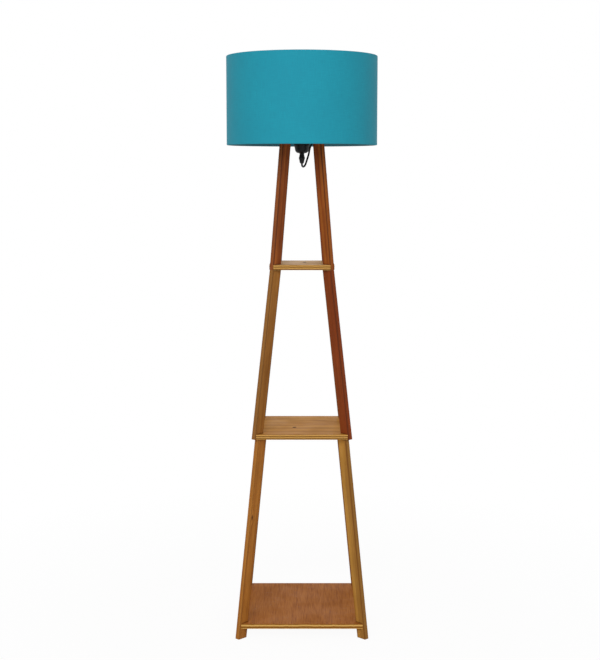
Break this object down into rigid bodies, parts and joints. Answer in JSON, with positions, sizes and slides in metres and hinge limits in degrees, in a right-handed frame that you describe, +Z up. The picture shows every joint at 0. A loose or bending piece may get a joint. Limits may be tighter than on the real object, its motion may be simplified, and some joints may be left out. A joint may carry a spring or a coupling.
{
  "type": "floor lamp",
  "caption": "Tall floor lamp with square plywood shelves on leaning wooden corner legs, a fabric drum shade, a screw-in lampholder, and a lead with a rocker switch and a plug.",
  "frame": {"origin": "on the floor under the lamp's vertical axis, midway between the four feet", "axes": "+Z up along the lamp's axis, -Y towards the front of the shelves, +X to the right seen from the front"},
  "size_m": [0.3799, 0.4245, 1.456],
  "materials": {
    "base_plywood": "satin",
    "middle_plywood": "satin",
    "top_plywood": "satin",
    "lower_batten": "satin",
    "middle_batten": "satin",
    "upper_batten": "satin",
    "shade_cloth": "woven, matte",
    "frame_wire": "gloss",
    "holder_plastic": "satin",
    "porcelain": "gloss",
    "socket_brass": "satin",
    "zinc_steel": "satin",
    "cord_plastic": "satin",
    "switch_plastic": "satin"
  },
  "bodies": {
    "lamp": {"base_screws": "zinc_steel", "base_shelf": "base_plywood", "centre_contact": "socket_brass", "clip_nails": "zinc_steel", "cord_clips": "cord_plastic", "cord_coil": "cord_plastic", "cord_floor_run": "cord_plastic", "cord_grip": "holder_plastic", "cord_leg_run": "cord_plastic", "cord_loop": "cord_plastic", "cord_to_coil": "cord_plastic", "cord_to_plug": "cord_plastic", "lampholder_body": "holder_plastic", "lampholder_cap": "holder_plastic", "lampholder_insert": "porcelain", "lower_leg_front_left": "lower_batten", "lower_leg_front_right": "lower_batten", "lower_leg_rear_left": "lower_batten", "lower_leg_rear_right": "lower_batten", "middle_leg_front_left": "middle_batten", "middle_leg_front_right": "middle_batten", "middle_leg_rear_left": "middle_batten", "middle_leg_rear_right": "middle_batten", "middle_shelf": "middle_plywood", "middle_shelf_dowels": "zinc_steel", "plate_screws": "zinc_steel", "plug_blades": "socket_brass", "plug_body": "cord_plastic", "shade_fabric": "shade_cloth", "shade_frame": "frame_wire", "shade_ring": "holder_plastic", "shade_top_wire": "frame_wire", "socket_shell": "socket_brass", "switch_base": "switch_plastic", "switch_bushings": "cord_plastic", "switch_contacts": "socket_brass", "switch_cover": "switch_plastic", "switch_screws": "zinc_steel", "switch_spring": "zinc_steel", "terminal_screws": "socket_brass", "top_plate": "middle_plywood", "top_shelf": "top_plywood", "top_shelf_dowels": "zinc_steel", "upper_leg_front_left": "upper_batten", "upper_leg_front_right": "upper_batten", "upper_leg_rear_left": "upper_batten", "upper_leg_rear_right": "upper_batten"},
    "rocker": {"switch_rocker": "switch_plastic"}
  },
  "joints": [
    {"name": "rocker_tilt", "type": "hinge", "parent": "lamp", "child": "rocker", "pos_m": [0.055, 0.205, 0.012], "axis": [0, -1, 0], "range_deg": [0, 16]}
  ]
}
